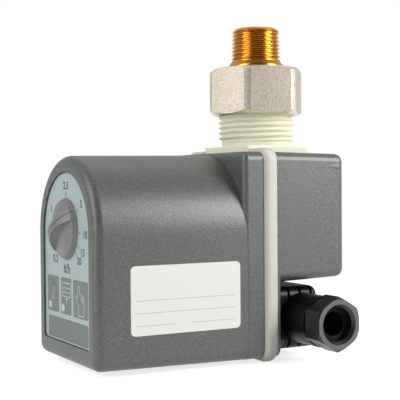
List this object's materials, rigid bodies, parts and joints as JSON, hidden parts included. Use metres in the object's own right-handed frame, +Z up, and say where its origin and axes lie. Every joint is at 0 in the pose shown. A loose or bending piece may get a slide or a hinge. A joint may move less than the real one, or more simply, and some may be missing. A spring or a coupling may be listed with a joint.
{
  "type": "automatic drain valve",
  "caption": "Timer-controlled solenoid condensate drain with an arched case, dial panel, taper-threaded union inlet, rear outlet and a plug-in cable gland.",
  "frame": {"origin": "on the inlet's axis, at the gauge plane of its R3/8 taper thread, 6.4 mm below the nipple's mouth", "axes": "+Z up along the inlet, -Y towards the control panel, +X towards the cable gland, +Y towards the outlet"},
  "size_m": [0.0683, 0.0966, 0.1123],
  "materials": {
    "housing_plastic": "fine spark-eroded texture, satin",
    "overlay_foil": "printed satin film",
    "gasket_rubber": "smooth off-white moulded seal",
    "ivory_plastic": "smooth natural nylon",
    "nickel": "nickel-plated forging, turned corners",
    "brass": "turned",
    "plug_plastic": "satin black",
    "black_rubber": "matt",
    "steel": "plain",
    "component_black": "matt",
    "relay_blue": "satin",
    "board_green": "solder mask",
    "white_plastic": "satin",
    "lamp_clear": "clear lens",
    "label_film": "bare printed film, satin"
  },
  "bodies": {
    "root": {"front_housing": "housing_plastic", "panel_overlay": "overlay_foil", "potentiometer": "component_black", "circuit_board": "board_green", "test_switch": "component_black", "led_power": "lamp_clear", "led_drain": "lamp_clear", "transformer": "component_black", "relay": "relay_blue", "capacitor": "component_black", "terminal_block": "board_green", "rear_housing": "housing_plastic", "housing_gasket": "gasket_rubber", "upper_case_screws": "steel", "lower_case_screws": "steel", "valve_body": "ivory_plastic", "core_tube": "steel", "tube_clamp": "steel", "clamp_screws": "steel", "fixed_core": "steel", "plunger_spring": "steel", "tube_seal": "black_rubber", "coil": "component_black", "yoke": "steel", "coil_nut": "steel", "union_seal": "black_rubber", "inlet_nipple": "brass", "plug_base": "plug_plastic", "plug_pins": "brass", "rating_label": "label_film"},
    "knob": {"selector_knob": "housing_plastic", "pot_shaft": "steel"},
    "test_key": {"test_key": "white_plastic"},
    "plunger": {"plunger": "steel", "plunger_seal": "black_rubber"},
    "union_nut": {"union_nut": "nickel"},
    "plug": {"plug_housing": "plug_plastic", "plug_gasket": "black_rubber", "plug_insert": "plug_plastic", "gland_seal": "black_rubber", "gland_washer": "steel"},
    "plug_screw": {"plug_screw": "steel"},
    "gland_nut": {"gland_nut": "plug_plastic"}
  },
  "joints": [
    {"name": "knob_turn", "type": "hinge", "parent": "root", "child": "knob", "pos_m": [0, -0.07165, -0.0615], "axis": [0, 1, 0], "range_deg": [-196, 74]},
    {"name": "test_press", "type": "slide", "parent": "root", "child": "test_key", "axis": [0, 1, 0], "range_m": [0, 0.0005], "stiffness_N_per_m": 1500},
    {"name": "plunger_lift", "type": "slide", "parent": "root", "child": "plunger", "axis": [0, -1, 0], "range_m": [0, 0.002], "stiffness_N_per_m": 400, "springref_m": -0.004, "deforming": ["plunger_spring"]},
    {"name": "union_turn", "type": "hinge", "parent": "root", "child": "union_nut", "pos_m": [0, 0, 0], "axis": [0, 0, 1], "continuous": true},
    {"name": "plug_pull", "type": "slide", "parent": "root", "child": "plug", "axis": [0, 1, 0], "range_m": [0, 0.012]},
    {"name": "plug_screw_turn", "type": "hinge", "parent": "plug", "child": "plug_screw", "pos_m": [0.006, 0, -0.0928], "axis": [0, 1, 0], "continuous": true},
    {"name": "gland_turn", "type": "hinge", "parent": "plug", "child": "gland_nut", "pos_m": [0.0339, 0.0044, -0.0928], "axis": [1, 0, 0], "continuous": true}
  ]
}
